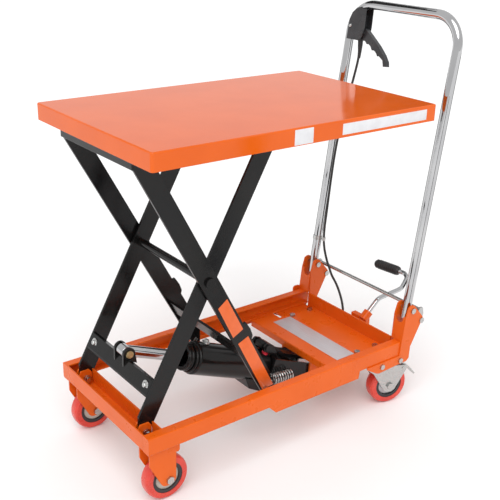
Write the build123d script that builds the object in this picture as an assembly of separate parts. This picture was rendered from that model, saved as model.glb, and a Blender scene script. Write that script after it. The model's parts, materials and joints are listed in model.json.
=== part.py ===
from build123d import *
from math import atan2, cos, radians, sin, sqrt, tan
import os

os.makedirs("parts", exist_ok=True)

# Scissor lift table: a platform on crossed arms, raised by a foot pump, on a wheeled base with a
# push handle.  Millimetres, +Z up, floor at z = 0.  +X runs from the platform's front edge to the
# handle, +Y is the right-hand side of a person pushing.  "Distance" is measured along X from the
# platform's front edge, and FRONT turns it into x.

# ---- Overall sizes -------------------------------------------------------------------------
OVERALL_LENGTH = 926.3       # platform's front edge to the back of the pedal grip
FRONT = -OVERALL_LENGTH / 2
TABLE_LENGTH = 700.0
TABLE_WIDTH = 450.0
TABLE_HEIGHT = 755.0
TABLE_LIP = 35.0
TABLE_SHEET = 2.5

# ---- Base frame ----------------------------------------------------------------------------
FRAME_HALF_WIDTH = 187.0     # to the rails' outer faces
RAIL_BOTTOM = 132.0
RAIL_HEIGHT = 38.0
RAIL_TOP = RAIL_BOTTOM + RAIL_HEIGHT
RAIL_WALL = 4.0
RAIL_FLANGE = 22.0           # outer face to the flanges' inner edges
RAIL_START = 2.0
RAIL_END = 716.0
FLANGE_EDGE = FRAME_HALF_WIDTH - RAIL_FLANGE
CHANNEL_DEPTH = 43.0         # front cross channel, front to back
SKIRT_BOTTOM = 114.6
TRAY_FRONT = 522.0
TRAY_BACK = 708.0
TRAY_HALF_WIDTH = 131.0
TRAY_APRON_END = 590.0       # the tray reaches the rails as far back as this
TRAY_FLANGE_BOTTOM = 118.0
TRAY_SHEET = 4.0
HANGER_Y = 50.0              # inner faces of the ears that the pump hangs on
HANGER_THICK = 5.0
BRACKET_THICK = 3.5
BRACKET_INNER_Y = 152.0
WEB_FOOT = (702.6, 162.2)    # front edge of the handle bracket, low and high
WEB_HEAD = (710.8, 232.4)
MOUNT_THICK = 4.0            # plate that the caster bolts to

# ---- Scissor -------------------------------------------------------------------------------
ARM_REACH = 300.0            # between an arm's end pivots, along X, with the platform raised
FOOT_PIVOT = (27.0, 151.0)   # the inner arms' hinge on the base
HEAD_HEIGHT = 736.0          # height of the arms' top pivots
ROLLER_FOOT = (FOOT_PIVOT[0] + ARM_REACH, FOOT_PIVOT[1])
TABLE_PIVOT = (FOOT_PIVOT[0], HEAD_HEIGHT)
ROLLER_HEAD = (ROLLER_FOOT[0], HEAD_HEIGHT)
CENTRE = (FOOT_PIVOT[0] + ARM_REACH / 2, (FOOT_PIVOT[1] + HEAD_HEIGHT) / 2)
ARM_END = 13.0               # material round an end pivot
ARM_SHOULDER = 36.0          # length of the upright cut beside an end pivot
ARM_CORNER = 5.7
ARM_THICK = 6.0
EAR_THICK = 3.5              # ears beside the inner arms' feet
EAR_GAP = 1.2                # between an arm and the ears beside it
HINGE_Y = (129.0, 143.0)     # middles of the platform's hinge ears
HINGE_THICK = 4.0
INNER_ARM_Y = 125.0          # inner faces of the inner arms
OUTER_ARM_Y = 134.0          # inner faces of the outer arms
PIN_RADIUS = 6.0
RUNNING_FIT = 0.05           # radial clearance of a turning fit
TABLE_ROLLER_RADIUS = 12.7
BASE_ROLLER_RADIUS = 14.5

# ---- Cylinder and pump ---------------------------------------------------------------------
PUMP_HINGE = (554.0, 57.0)
ROD_PIN = (58.0, 266.5)
ROD_RADIUS = 12.5
ROD_PIN_RADIUS = 7.0
ROD_EYE_RADIUS = 12.5
CLEVIS_Y = 15.0              # inner faces of the cross member's ears for the rod
CLEVIS_THICK = 6.0
CLEVIS_RADIUS = 14.0
GLAND_RADIUS = 29.0
GLAND_HOLE = 22.7            # wide enough for the rod's sideways sweep as the table moves
RESERVOIR_RADIUS = 38.0
RESERVOIR_BORE = 31.0
PISTON_RADIUS = 20.0
GLAND_START = 154.0          # along the cylinder, from the rod's pin
RESERVOIR_START = 178.0
RESERVOIR_END = 400.0
YOKE_Y = 42.0
YOKE_THICK = 6.0
WEB_THICK = 8.0
PLUNGER_BEFORE_HINGE = 31.0  # plunger's axis to the pump's hinge, along the cylinder
PLUNGER_TOP = 29.9
PLUNGER_RADIUS = 9.0
PEDAL_PIVOT = (426.0, 167.6)
PEDAL_LUG_Y = 19.0

# ---- Wheels --------------------------------------------------------------------------------
WHEEL_RADIUS = 50.0
FRONT_AXLE = (54.6, 50.0)
FRONT_WHEEL_Y = 156.8
FRONT_WHEEL_WIDTH = 28.0
CASTER_DISTANCE = 655.0
CASTER_Y = 150.0
CASTER_TRAIL = 40.0
CASTER_YAW = 14.0            # how far the casters have swung outward
REAR_WHEEL_WIDTH = 30.0
AXLE_RADIUS = 6.0
FORK_PLATE = 4.0
FORK_OUTER_Y = 178.0
FORK_INNER_Y = 135.6
CASTER_BOLT_X = 30.0         # bolts before and behind the kingpin
CASTER_BOLT_Y = 28.0         # and on each side of it
BOLT_RADIUS = 4.0
KINGPIN_RADIUS = 7.0
CHEEK_GAP = 17.5             # caster fork's middle to the cheeks' inner faces
CHEEK_THICK = 2.5
CROWN_HEIGHT = 107.0
CROWN_BACK = 30.0            # short enough to swing under the handle bracket
BRAKE_PIVOT = (74.0, 94.0)   # behind the kingpin, and height
BRAKE_PIN_RADIUS = 3.0

# ---- Pedal ---------------------------------------------------------------------------------
PEDAL_TUBE_RADIUS = 6.0
PEDAL_Y = -30.0
PEDAL_LEVER_HALF_WIDTH = 13.0
PEDAL_SOCKET = (738.0, 163.0)
PEDAL_ELBOW = (783.0, 203.0)
GRIP_RADIUS = 13.0
GRIP_RINGS = 9
GRIP_ENDS = ((914.4, 27.0, 226.6), (904.0, 102.0, 226.6))

# ---- Handle --------------------------------------------------------------------------------
HANDLE_PIVOT = (733.0, 246.0)
HANDLE_LEAN = 7.6            # degrees back from upright
HANDLE_Y = 169.0
HANDLE_RADIUS = 11.0
HANDLE_BORE = 9.2
HANDLE_BOTTOM = 222.0
HANDLE_TOP = 918.6           # centre of the top bar
HANDLE_BEND = 70.0
LATCH_PIVOT = (766.0, 212.5)
LOCK_ROD = (769.0, 235.6)
LOCK_ROD_RADIUS = 4.5
LEVER_PIVOT = (116.4, 851.6)  # y and height
BRACKET_SHEET = 2.0
BRACKET_CLEARANCE = 0.2      # lever bracket's sheets to the tube
CABLE_RADIUS = 3.0
# The release cable's route: (distance, y, height) from the lever down to the valve.  The upper
# part moves with the handle and the lower part stays on the base; they meet level with the
# handle's pivot, where the handle's fold moves the cable least.
CABLE_UPPER = [
    (812.0, 131.0, 831.5), (808.0, 126.0, 800.0), (802.0, 131.5, 752.0), (794.5, 139.5, 700.0),
    (786.5, 146.5, 648.0), (778.0, 151.0, 598.0), (770.5, 152.5, 547.0), (764.5, 152.8, 495.0),
    (758.0, 151.5, 443.0), (751.5, 149.5, 392.0), (746.0, 149.5, 342.0), (744.0, 145.5, 300.0),
    (744.5, 132.0, 264.0), (745.0, 121.0, 246.6),
]
CABLE_LOWER = [
    (745.0, 120.6, 246.0), (744.0, 109.0, 228.0), (740.0, 85.0, 214.0), (733.0, 62.0, 197.0),
    (727.0, 42.0, 173.0), (725.0, 35.0, 145.0), (716.0, 33.0, 120.0), (690.0, 31.0, 113.0),
    (648.0, 29.5, 114.0), (604.0, 31.0, 110.0), (560.0, 32.5, 110.5), (521.0, 31.0, 109.5),
    (492.0, 30.0, 122.0), (472.5, 29.5, 134.0),
]
CORNER_SHARE = 0.45          # of the shorter run beside a corner, taken by the corner's arc


# ---- Helpers -------------------------------------------------------------------------------
def at(distance, y, height):
    """Point at a distance behind the platform's front edge."""
    return Vector(FRONT + distance, y, height)


def plate(outline, y_low, y_high):
    """Upright plate with a side outline of (distance, height) points."""
    points = [at(distance, y_low, height) for distance, height in outline]
    face = make_face(Polyline(*points, close=True))
    return extrude(face, amount=y_high - y_low, dir=(0, 1, 0))


def bar(start, end, radius):
    """Round bar between two points."""
    axis = end - start
    lying = Plane(origin=start, z_dir=axis)
    return lying * Cylinder(radius, axis.length, align=(Align.CENTER, Align.CENTER, Align.MIN))


def cross_bar(pivot, radius, y_low, y_high):
    """Round bar along Y through a (distance, height) pivot."""
    return bar(at(pivot[0], y_low, pivot[1]), at(pivot[0], y_high, pivot[1]), radius)


def block(low, high):
    """Box between two corners given as (distance, y, height)."""
    size = [high[index] - low[index] for index in range(3)]
    return Pos(at(*low)) * Box(*size, align=(Align.MIN, Align.MIN, Align.MIN))


def turned(profile, centre, axis):
    """Solid turned about an axis: (radius, offset along the axis) points."""
    face = make_face(Polyline(*[(radius, 0, offset) for radius, offset in profile], close=True))
    return Plane(origin=centre, z_dir=axis) * revolve(face, Axis.Z)


def hex_head(centre, axis, size, height):
    """Hexagonal bolt head or nut standing on a point."""
    prism = extrude(RegularPolygon(size, 6), amount=height)
    return Plane(origin=centre, z_dir=axis) * prism


def along_y(solid, test):
    """Edges parallel to Y whose centres pass a test."""
    return ShapeList([edge for edge in solid.edges().filter_by(Axis.Y) if test(edge.center())])


def along_x(solid, test):
    """Edges parallel to X whose centres pass a test."""
    return ShapeList([edge for edge in solid.edges().filter_by(Axis.X) if test(edge.center())])


def along_z(solid, test):
    """Edges parallel to Z whose centres pass a test."""
    return ShapeList([edge for edge in solid.edges().filter_by(Axis.Z) if test(edge.center())])


def other_side(solid):
    """Mirror image on the other side of the table."""
    return mirror(solid, Plane.XZ)


def both_sides(solids):
    """A list of solids and their mirror images."""
    return solids + [other_side(solid) for solid in solids]


def save(name, *solids):
    """Write one node, made of one solid or of several separate ones."""
    pieces = []
    for solid in solids:
        pieces.extend(solid.solids())
    shape = pieces[0] if len(pieces) == 1 else Compound(children=pieces)
    export_step(shape, f"parts/{name}.step")


# The cylinder's own directions: along it from the rod's pin to the pump hinge, and up from it.
CYLINDER_LENGTH = sqrt((PUMP_HINGE[0] - ROD_PIN[0]) ** 2 + (PUMP_HINGE[1] - ROD_PIN[1]) ** 2)
CYLINDER_SLOPE = atan2(ROD_PIN[1] - PUMP_HINGE[1], PUMP_HINGE[0] - ROD_PIN[0])
PLUNGER_ALONG = CYLINDER_LENGTH - PLUNGER_BEFORE_HINGE


def on_cylinder(along, above):
    """(distance, height) of a point given along the cylinder's axis and above it."""
    distance = ROD_PIN[0] + along * cos(CYLINDER_SLOPE) + above * sin(CYLINDER_SLOPE)
    height = ROD_PIN[1] - along * sin(CYLINDER_SLOPE) + above * cos(CYLINDER_SLOPE)
    return (distance, height)


def cylinder_bar(start, end, radius):
    """Round bar along the cylinder's axis."""
    near = on_cylinder(start, 0)
    far = on_cylinder(end, 0)
    return bar(at(near[0], 0, near[1]), at(far[0], 0, far[1]), radius)


def cylinder_plate(outline, y_low, y_high):
    """Upright plate with an outline of (along, above) points on the cylinder."""
    return plate([on_cylinder(along, above) for along, above in outline], y_low, y_high)


# ---- Base ----------------------------------------------------------------------------------
def base_rail():
    """Left rail: a channel open to the middle, closed at its front, with a skirt plate beneath."""
    outer = -FRAME_HALF_WIDTH
    section = [
        (outer, RAIL_BOTTOM), (outer + RAIL_FLANGE, RAIL_BOTTOM),
        (outer + RAIL_FLANGE, RAIL_BOTTOM + RAIL_WALL), (outer + RAIL_WALL, RAIL_BOTTOM + RAIL_WALL),
        (outer + RAIL_WALL, RAIL_TOP - RAIL_WALL), (outer + RAIL_FLANGE, RAIL_TOP - RAIL_WALL),
        (outer + RAIL_FLANGE, RAIL_TOP), (outer, RAIL_TOP),
    ]
    face = make_face(Polyline(*[at(RAIL_START, y, z) for y, z in section], close=True))
    rail = extrude(face, amount=RAIL_END - RAIL_START, dir=(1, 0, 0))
    bends = along_x(rail, lambda point: point.Y < outer + 1)
    rail = fillet(bends, RAIL_WALL - 1)
    lips = along_x(rail, lambda point: point.Y > -FLANGE_EDGE - 1)
    rail = fillet(lips, 1)
    cap = block((RAIL_START, outer, RAIL_BOTTOM), (RAIL_START + RAIL_WALL, -FLANGE_EDGE, RAIL_TOP))
    cap = fillet(along_x(cap, lambda point: point.Y < outer + 1), RAIL_WALL - 1)
    skirt_top = RAIL_BOTTOM + 6
    skirt = [(298, skirt_top), (321.6, SKIRT_BOTTOM), (569, SKIRT_BOTTOM), (573, skirt_top)]
    return rail + cap + plate(skirt, outer, outer + RAIL_WALL)


def front_cross_channel():
    """Channel joining the rails at the front, slotted behind each arm's foot."""
    back = RAIL_START + CHANNEL_DEPTH
    front_wall = 3.0
    outline = [
        (RAIL_START, RAIL_TOP), (RAIL_START, RAIL_BOTTOM), (back, RAIL_BOTTOM), (back, RAIL_TOP),
        (back - front_wall, RAIL_TOP), (back - front_wall, RAIL_BOTTOM + RAIL_WALL),
        (RAIL_START + front_wall, RAIL_BOTTOM + RAIL_WALL), (RAIL_START + front_wall, RAIL_TOP),
    ]
    channel = plate(outline, -FLANGE_EDGE, FLANGE_EDGE)
    channel = fillet(along_y(channel, lambda point: point.Z < RAIL_BOTTOM + 1), 2.5)
    slot_low = (back - front_wall - 1, INNER_ARM_Y - 2, RAIL_BOTTOM + RAIL_WALL)
    slot_high = (back + 1, INNER_ARM_Y + ARM_THICK + 2, RAIL_TOP + 1)
    slot = block(slot_low, slot_high)
    return channel - slot - other_side(slot)


def arm_pivot_ears():
    """A pair of upright ears on the channel floor for each inner arm's foot."""
    floor = RAIL_BOTTOM + RAIL_WALL
    outline = [(8, floor), (8, 160), (14, 172), (34, 172), (40, 164), (40, floor)]
    inner = plate(outline, INNER_ARM_Y - EAR_GAP - EAR_THICK, INNER_ARM_Y - EAR_GAP)
    outer_start = INNER_ARM_Y + ARM_THICK + EAR_GAP
    outer = plate(outline, outer_start, outer_start + EAR_THICK)
    hole = cross_bar(FOOT_PIVOT, PIN_RADIUS, INNER_ARM_Y - 20, INNER_ARM_Y + 30)
    rounded = [fillet(along_y(ear, lambda point: point.Z > floor + 1), 3) for ear in (inner, outer)]
    return both_sides([ear - hole for ear in rounded])


def hinge_pins():
    """The fixed pins: one in each inner arm's foot, and the long one that the pump hangs on."""
    inner_face = INNER_ARM_Y - EAR_GAP - EAR_THICK
    outer_face = INNER_ARM_Y + ARM_THICK + EAR_GAP + EAR_THICK
    pin = cross_bar(FOOT_PIVOT, PIN_RADIUS, inner_face, outer_face)
    head = cross_bar(FOOT_PIVOT, 8.5, outer_face, outer_face + 4)
    tail = cross_bar(FOOT_PIVOT, 8.5, inner_face - 4, inner_face)
    foot_pin = fillet((pin + head + tail).edges().group_by(Axis.Y)[-1], 1.5)
    reach = HANGER_Y + HANGER_THICK
    pump_pin = cross_bar(PUMP_HINGE, PIN_RADIUS, -reach, reach)
    for low, high in ((-reach - 5, -reach), (reach, reach + 5)):
        pump_pin += cross_bar(PUMP_HINGE, 9.5, low, high)
    return both_sides([foot_pin]) + [pump_pin]


def pump_tray():
    """Tray between the rails with its turned-down front, rear wall and the pump's hanging ears."""
    floor = RAIL_BOTTOM
    top = floor + TRAY_SHEET
    wall = TRAY_BACK - TRAY_SHEET
    outline = [
        (TRAY_FRONT, TRAY_FLANGE_BOTTOM), (TRAY_FRONT, top), (wall, top), (wall, RAIL_TOP),
        (TRAY_BACK, RAIL_TOP), (TRAY_BACK, floor), (TRAY_FRONT + TRAY_SHEET, floor),
        (TRAY_FRONT + TRAY_SHEET, TRAY_FLANGE_BOTTOM),
    ]
    tray = plate(outline, -FLANGE_EDGE, FLANGE_EDGE)
    bend = along_y(tray, lambda point: point.X < FRONT + TRAY_FRONT + 1 and point.Z > top - 1)
    tray = fillet(bend, 3)
    beside_low = (TRAY_APRON_END, TRAY_HALF_WIDTH, floor - 1)
    beside = block(beside_low, (TRAY_BACK + 1, FLANGE_EDGE + 1, RAIL_TOP + 1))
    tray = tray - beside - other_side(beside)
    wall_end = block((wall, TRAY_HALF_WIDTH, floor), (TRAY_BACK, BRACKET_INNER_Y, RAIL_TOP))
    ear_outline = [(538, floor), (612, floor), (612, 98), (578, 43), (548, 38), (536, 48), (534, 74)]
    ear = plate(ear_outline, HANGER_Y, HANGER_Y + HANGER_THICK)
    ear = fillet(along_y(ear, lambda point: point.Z < floor - 1), 6)
    ear -= cross_bar(PUMP_HINGE, PIN_RADIUS, HANGER_Y - 1, HANGER_Y + 20)
    for extra in both_sides([wall_end, ear]):
        tray += extra
    holes = caster_bolt_holes()
    return tray - holes - other_side(holes)


def handle_bracket():
    """Left bracket: two plates and a front web that carry the handle, over the caster's plate."""
    upper = [(717.9, 256.8), (724, 260.5), (732, 261), (738, 258), (772.1, 218.8), (735.7, 149.1)]
    heel = [(734.4, 119.1), (726.6, 111.9), (712.5, 112.3), (634.2, 107.9), (623.8, 111.5),
            (595, 129), (595, 134), (700.5, 134)]
    inner_foot = [(WEB_FOOT[0] + 5.5, RAIL_BOTTOM), (WEB_FOOT[0] + 5.5, WEB_FOOT[1])]
    outer_outline = [WEB_FOOT, WEB_HEAD] + upper + heel
    inner_outline = inner_foot + [WEB_HEAD] + upper + [(735.2, RAIL_BOTTOM)]
    outer = plate(outer_outline, -FRAME_HALF_WIDTH - BRACKET_THICK, -FRAME_HALF_WIDTH)
    outer = fillet(along_y(outer, lambda point: point.Z < 125 or point.X > FRONT + 765), 5)
    inner = plate(inner_outline, -BRACKET_INNER_Y - BRACKET_THICK, -BRACKET_INNER_Y)
    inner = fillet(along_y(inner, lambda point: point.X > FRONT + 765), 5)
    web_outline = [(WEB_FOOT[0] + 0.8, RAIL_TOP), WEB_HEAD, (WEB_HEAD[0] + 4, WEB_HEAD[1]),
                   (WEB_FOOT[0] + 4, RAIL_TOP)]
    web = plate(web_outline, -FRAME_HALF_WIDTH, -BRACKET_INNER_Y - BRACKET_THICK)
    notch = bar(at(690, -HANDLE_Y, 228), at(730, -HANDLE_Y, 228), HANDLE_RADIUS + 2)
    notch_half = HANDLE_RADIUS + 2
    notch += block((690, -HANDLE_Y - notch_half, 228), (730, -HANDLE_Y + notch_half, 260))
    mount_low = (606, -FRAME_HALF_WIDTH - 0.5, RAIL_BOTTOM - MOUNT_THICK)
    bracket = outer + inner + (web - notch) + block(mount_low, (704, -105, RAIL_BOTTOM))
    for pivot in (HANDLE_PIVOT, LATCH_PIVOT):
        bracket -= cross_bar(pivot, BOLT_RADIUS, -200, -140)
    return bracket - caster_bolt_holes()


def bracket_tab():
    """Round-ended stop tab outside the right rail, in front of the handle bracket."""
    tab = plate([(684, 140), (684, 179), (706, 179), (712, 150)],
                FRAME_HALF_WIDTH + BRACKET_THICK, FRAME_HALF_WIDTH + 2 * BRACKET_THICK)
    return fillet(along_y(tab, lambda point: point.Z > 170), 7)


def front_fork():
    """Left front fork: a folded plate that hangs from the rail and holds the wheel's axle."""
    cheek = [(9, RAIL_BOTTOM), (9, 98), (39, 38), (70, 38), (71, RAIL_BOTTOM)]
    cheeks = []
    for low in (-FORK_OUTER_Y, -FORK_INNER_Y - FORK_PLATE):
        side = plate(cheek, low, low + FORK_PLATE)
        side = fillet(along_y(side, lambda point: point.Z < 45), 14)
        side = fillet(along_y(side, lambda point: 90 < point.Z < 105), 10)
        cheeks.append(side)
    crown_low = (9, -FORK_OUTER_Y, RAIL_BOTTOM - FORK_PLATE)
    crown = block(crown_low, (71, -FORK_INNER_Y, RAIL_BOTTOM))
    tab = plate([(71, RAIL_BOTTOM), (80, 127), (80, 113), (77, 110), (71, 110)],
                -FORK_OUTER_Y + 1, -FORK_OUTER_Y + FORK_PLATE)
    fork = cheeks[0] + cheeks[1] + crown + tab
    return fork - cross_bar(FRONT_AXLE, AXLE_RADIUS, -200, -100)


def caster_bolt(distance, y):
    """Bolt that holds a caster plate: through the tray on the inside, a short stud by the rail."""
    inside = abs(y) < CASTER_Y
    top = RAIL_BOTTOM + TRAY_SHEET if inside else RAIL_BOTTOM
    bottom = RAIL_BOTTOM - 2 * MOUNT_THICK
    bolt = bar(at(distance, y, bottom - 5), at(distance, y, top), BOLT_RADIUS)
    bolt += hex_head(at(distance, y, bottom - 4), (0, 0, 1), 7, 4)
    if inside:
        bolt += hex_head(at(distance, y, top), (0, 0, 1), 7.5, 5)
    return bolt


def caster_bolt_places():
    """(distance, y) of the left caster's four bolts."""
    return [(CASTER_DISTANCE + along, -CASTER_Y + across)
            for along in (-CASTER_BOLT_X, CASTER_BOLT_X) for across in (-CASTER_BOLT_Y, CASTER_BOLT_Y)]


def caster_bolt_holes():
    """Holes for the left caster's bolts."""
    holes = [bar(at(distance, y, 110), at(distance, y, 140), BOLT_RADIUS)
             for distance, y in caster_bolt_places()]
    return holes[0] + holes[1] + holes[2] + holes[3]


def frame_bolts():
    """Fasteners of the base: caster bolts, front axles, and the handle brackets' side bolts."""
    bolts = [caster_bolt(distance, y) for distance, y in caster_bolt_places()]
    axle = cross_bar(FRONT_AXLE, AXLE_RADIUS, -FORK_OUTER_Y - 1.5, -FORK_INNER_Y + 1.5)
    axle += hex_head(at(FRONT_AXLE[0], -FORK_OUTER_Y, FRONT_AXLE[1]), (0, -1, 0), 9, 5)
    axle += hex_head(at(FRONT_AXLE[0], -FORK_INNER_Y, FRONT_AXLE[1]), (0, 1, 0), 9, 6)
    bolts.append(axle)
    face = -FRAME_HALF_WIDTH - BRACKET_THICK
    for distance, height in ((641.5, 124), (703.4, 122)):
        side = hex_head(at(distance, face, height), (0, -1, 0), 7, 4.5)
        bolts.append(side)
    latch = cross_bar(LATCH_PIVOT, 4, face, -BRACKET_INNER_Y)
    latch += cross_bar(LATCH_PIVOT, 7, face - 3, face)
    latch += cross_bar(LATCH_PIVOT, 7, -BRACKET_INNER_Y, -BRACKET_INNER_Y + 3)
    bolts.append(latch)
    return both_sides(bolts)


def caster_top_plate():
    """Left caster's fixed plate with the upper race and the kingpin under it."""
    centre = at(CASTER_DISTANCE, -CASTER_Y, RAIL_BOTTOM - MOUNT_THICK)
    sheet = Pos(centre) * Box(82, 70, MOUNT_THICK, align=(Align.CENTER, Align.CENTER, Align.MAX))
    sheet = fillet(along_z(sheet, lambda point: True), 8)
    sheet -= caster_bolt_holes()
    under = centre - Vector(0, 0, MOUNT_THICK)
    race = turned([(0, -9), (24, -9), (27, -4), (27, 0), (0, 0)], under, (0, 0, 1))
    pin = bar(centre - Vector(0, 0, 21), centre - Vector(0, 0, 12), KINGPIN_RADIUS)
    return sheet + race + pin


# ---- Wheels --------------------------------------------------------------------------------
def tyre(centre, width, axis):
    """Tyre with a crowned tread."""
    half = width / 2
    crown = [(WHEEL_RADIUS - 4, half), (WHEEL_RADIUS - 1, half - 4), (WHEEL_RADIUS, half - 9),
             (WHEEL_RADIUS, -half + 9), (WHEEL_RADIUS - 1, -half + 4), (WHEEL_RADIUS - 4, -half)]
    profile = [(35, half)] + crown + [(35, -half)]
    return turned(profile, centre, axis)


def hub(centre, width, axis):
    """Wheel centre: rim ring, dished web and a boss bored for the axle."""
    half = width / 2
    bore = AXLE_RADIUS + RUNNING_FIT
    profile = [
        (bore, half + 1.5), (12, half + 1.5), (14, half - 3), (27, half - 5), (28, half - 1),
        (35, half - 1), (35, -half + 1), (28, -half + 1), (27, -half + 5), (14, -half + 3),
        (12, -half - 1.5), (bore, -half - 1.5),
    ]
    return turned(profile, centre, axis)


class Caster:
    """Left rear caster, swung about its kingpin."""

    def __init__(self):
        angle = radians(-CASTER_YAW)
        self.back = Vector(cos(angle), sin(angle), 0)
        self.side = Vector(-sin(angle), cos(angle), 0)
        self.pivot = at(CASTER_DISTANCE, -CASTER_Y, 0)
        self.centre = self.pivot + self.back * CASTER_TRAIL + Vector(0, 0, WHEEL_RADIUS)

    def plate(self, outline, low, high):
        """Upright plate: (behind the kingpin, height) outline, low to high across the fork."""
        points = [self.pivot + self.back * back + self.side * low + Vector(0, 0, height)
                  for back, height in outline]
        return extrude(make_face(Polyline(*points, close=True)), amount=high - low, dir=self.side)

    def pin(self, back, height, radius, low, high):
        """Round bar across the fork."""
        middle = self.pivot + self.back * back + Vector(0, 0, height)
        return bar(middle + self.side * low, middle + self.side * high, radius)


CASTER = Caster()


def caster_fork():
    """Pressed swivel fork with its lower race, and the axle bolt through its cheeks."""
    outline = [(-26, CROWN_HEIGHT + 3), (-22, 102), (-9, 92), (25, 38), (34, 33), (46, 33), (54, 38),
               (84, 88), (84, 99), (60, 103), (CROWN_BACK, CROWN_HEIGHT - 1),
               (CROWN_BACK, CROWN_HEIGHT + 3)]
    fork = None
    for low in (-CHEEK_GAP - CHEEK_THICK, CHEEK_GAP):
        cheek = CASTER.plate(outline, low, low + CHEEK_THICK)
        across = cheek.edges().filter_by(lambda edge: abs(edge.tangent_at(0).dot(CASTER.side)) > 0.99)
        cheek = fillet(across, 2)
        fork = cheek if fork is None else fork + cheek
    crown = [(-26, CROWN_HEIGHT), (-26, CROWN_HEIGHT + 3), (CROWN_BACK, CROWN_HEIGHT + 3),
             (CROWN_BACK, CROWN_HEIGHT)]
    fork += CASTER.plate(crown, -CHEEK_GAP - CHEEK_THICK, CHEEK_GAP + CHEEK_THICK)
    centre = CASTER.pivot + Vector(0, 0, CROWN_HEIGHT + 3)
    fork += turned([(0, 0), (30, 0), (30, 1.5), (26, 4.5), (0, 4.5)], centre, (0, 0, 1))
    well = bar(CASTER.pivot + Vector(0, 0, 100), CASTER.pivot + Vector(0, 0, 120),
               KINGPIN_RADIUS + RUNNING_FIT)
    fork -= well
    fork -= CASTER.pin(CASTER_TRAIL, WHEEL_RADIUS, AXLE_RADIUS, -30, 30)
    fork -= CASTER.pin(BRAKE_PIVOT[0], BRAKE_PIVOT[1], BRAKE_PIN_RADIUS + RUNNING_FIT, -30, 30)
    outside = CHEEK_GAP + CHEEK_THICK
    axle = CASTER.pin(CASTER_TRAIL, WHEEL_RADIUS, AXLE_RADIUS, -outside, outside)
    centre = CASTER.pivot + CASTER.back * CASTER_TRAIL + Vector(0, 0, WHEEL_RADIUS)
    axle += hex_head(centre - CASTER.side * outside, -CASTER.side, 9, 5)
    axle += hex_head(centre + CASTER.side * outside, CASTER.side, 9, 6)
    return [fork, axle]


def brake_pedal():
    """Foot brake of the caster: a bent tongue on a pin through the fork's cheeks."""
    reach = CHEEK_GAP + CHEEK_THICK
    tongue = [(73, 100), (90, 90), (110, 66), (113, 68.5), (92.5, 93), (75, 103.5)]
    pedal = CASTER.plate(tongue, -15, 15)
    lug = [(70, 98), (78, 88), (83, 92), (81, 100), (73, 103)]
    for low in (-15, 12):
        pedal += CASTER.plate(lug, low, low + 3)
    pedal += CASTER.pin(BRAKE_PIVOT[0], BRAKE_PIVOT[1], BRAKE_PIN_RADIUS, -reach - 2, reach + 2)
    return pedal


# ---- Scissor arms --------------------------------------------------------------------------
def arm(foot, head, lean, y_low):
    """Flat bar between two pivots; lean is 1 where the head stands behind the foot, else -1."""
    corners = [
        (foot, -ARM_END, -ARM_END), (foot, -ARM_END, ARM_SHOULDER), (head, -ARM_CORNER, ARM_END),
        (head, ARM_END, ARM_END), (head, ARM_END, -ARM_SHOULDER), (foot, ARM_CORNER, -ARM_END),
    ]
    outline = [(pivot[0] + lean * along, pivot[1] + up) for pivot, along, up in corners]
    return fillet(plate(outline, y_low, y_low + ARM_THICK).edges().filter_by(Axis.Y), 2)


def bored(solid, pivot, radius):
    """Solid with a hole along Y through a pivot."""
    return solid - cross_bar(pivot, radius, -FRAME_HALF_WIDTH, FRAME_HALF_WIDTH)


def inner_arm():
    """Right inner arm, hinged on the base at its foot and rolling under the platform."""
    flat = arm(FOOT_PIVOT, ROLLER_HEAD, 1, INNER_ARM_Y)
    flat = bored(flat, FOOT_PIVOT, PIN_RADIUS + RUNNING_FIT)
    return bored(bored(flat, CENTRE, PIN_RADIUS), ROLLER_HEAD, PIN_RADIUS)


def outer_arm():
    """Right outer arm, hinged under the platform and rolling in the base rail, with its lug."""
    flat = arm(ROLLER_FOOT, TABLE_PIVOT, -1, OUTER_ARM_Y)
    lug = plate([(258, 326), (270, 329), (282, 311), (288.5, 294), (286, 284), (270, 286)],
                OUTER_ARM_Y, OUTER_ARM_Y + ARM_THICK)
    flat += fillet(along_y(lug, lambda point: point.X > FRONT + 271 and point.Z > 290), 4)
    flat = bored(flat, TABLE_PIVOT, PIN_RADIUS + RUNNING_FIT)
    flat = bored(flat, CENTRE, PIN_RADIUS + RUNNING_FIT)
    return bored(flat, ROLLER_FOOT, PIN_RADIUS)


def inner_cross_member():
    """Folded plate across the front edges of the inner arms, with the cylinder's two ears."""
    outline = [(51.5, 256), (36.2, 228), (34.5, 224), (38, 220), (58, 209), (59.5, 212), (40.5, 223),
               (40, 228), (53.5, 251.5), (62, 247.2), (63, 250.2)]
    member = plate(outline, -INNER_ARM_Y, INNER_ARM_Y)
    member = fillet(along_y(member, lambda point: point.X < FRONT + 38), 1.2)
    ear_outline = [(43.4, 241.2), (ROD_PIN[0] - CLEVIS_RADIUS, ROD_PIN[1]),
                   (ROD_PIN[0] + CLEVIS_RADIUS, ROD_PIN[1]), (75.5, 241), (54.5, 252.4)]
    for low in (CLEVIS_Y, -CLEVIS_Y - CLEVIS_THICK):
        high = low + CLEVIS_THICK
        ear = plate(ear_outline, low, high) + cross_bar(ROD_PIN, CLEVIS_RADIUS, low, high)
        member += ear - cross_bar(ROD_PIN, ROD_PIN_RADIUS, low - 1, high + 1)
    member -= cross_bar(ROD_PIN, ROD_EYE_RADIUS + 2, -CLEVIS_Y, CLEVIS_Y)
    return member - cylinder_bar(0, 40, ROD_RADIUS + 2)


def clevis_pin():
    """Pin that joins the piston rod's eye to the cross member."""
    reach = CLEVIS_Y + CLEVIS_THICK
    pin = cross_bar(ROD_PIN, ROD_PIN_RADIUS, -reach - 3, reach + 3)
    head = cross_bar(ROD_PIN, 8.5, -reach - 4, -reach)
    return pin + fillet(head.edges().group_by(Axis.Y)[0], 1)


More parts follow.
